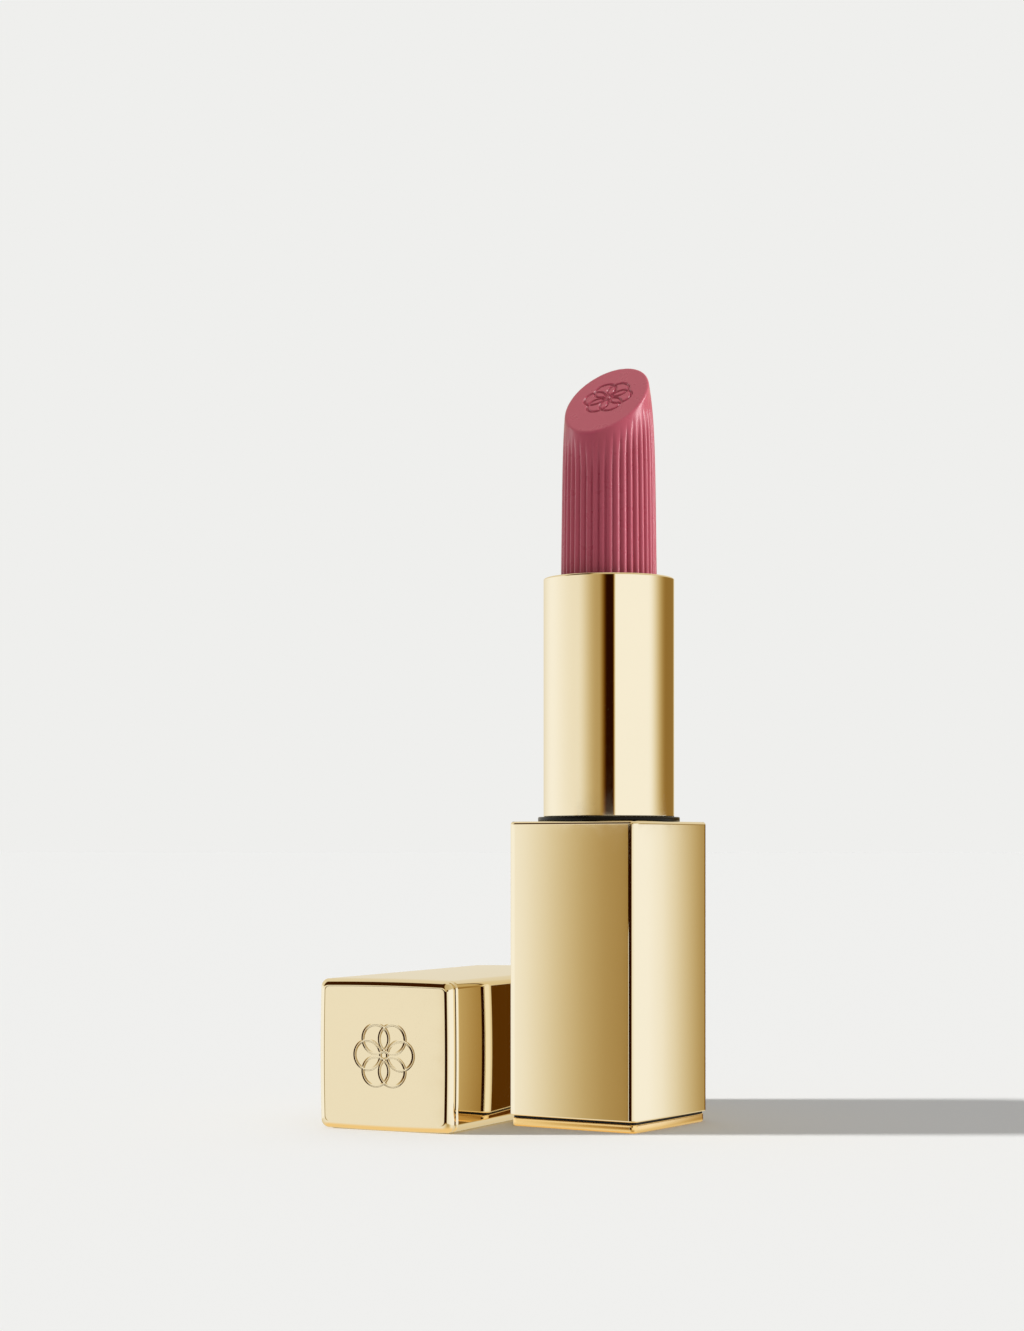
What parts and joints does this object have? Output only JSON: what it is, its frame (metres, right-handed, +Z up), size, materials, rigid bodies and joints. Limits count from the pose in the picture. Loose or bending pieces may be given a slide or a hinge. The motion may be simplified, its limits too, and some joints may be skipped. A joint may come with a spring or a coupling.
{
  "type": "lipstick case",
  "caption": "Square metal twist-up lipstick case, open and wound up, with a round sleeve, a fluted slanted bullet and its cap lying beside it.",
  "frame": {"origin": "centre of the foot plate's underside", "axes": "+Z up the case towards the tip of the bullet, -Y towards the bullet's slanted face, the cap lies on the -X side"},
  "size_m": [0.0418, 0.0438, 0.096],
  "materials": {
    "case_metal": "polished, pale gold anodised",
    "black_plastic": "satin",
    "liner_plastic": "matt",
    "mechanism_plastic": "natural, matt",
    "brake_rubber": "matt",
    "weight_steel": "as turned",
    "label": "printed film, blank",
    "wax": "satin wax"
  },
  "bodies": {
    "base": {"base_shell": "case_metal", "foot_plate": "case_metal", "shade_label": "label", "foot_spacer": "black_plastic", "base_weight": "weight_steel", "base_liner": "liner_plastic", "collar_ring": "black_plastic", "inner_body": "mechanism_plastic", "brake_ring": "brake_rubber"},
    "sleeve": {"sleeve": "case_metal", "spiral_cam": "mechanism_plastic"},
    "carrier": {"cup": "mechanism_plastic", "bullet": "wax"},
    "cap": {"cap_shell": "case_metal", "cap_top_spacer": "black_plastic", "cap_top_plate": "case_metal", "cap_weight": "weight_steel", "cap_liner": "liner_plastic"}
  },
  "joints": [
    {"name": "sleeve_turn", "type": "hinge", "parent": "base", "child": "sleeve", "pos_m": [0, 0, 0.0537], "axis": [0, 0, 1], "range_deg": [0, 550]},
    {"name": "cup_slide", "type": "slide", "parent": "base", "child": "carrier", "axis": [0, 0, 1], "range_m": [-0.0275, 0]},
    {"name": "cap_lift", "type": "slide", "parent": "base", "child": "cap", "axis": [0, 0, 1], "range_m": [0, 0.1]}
  ],
  "couplings": [
    {"joint": "sleeve_turn", "follows": "cup_slide", "rad_per_m": -349.07}
  ]
}
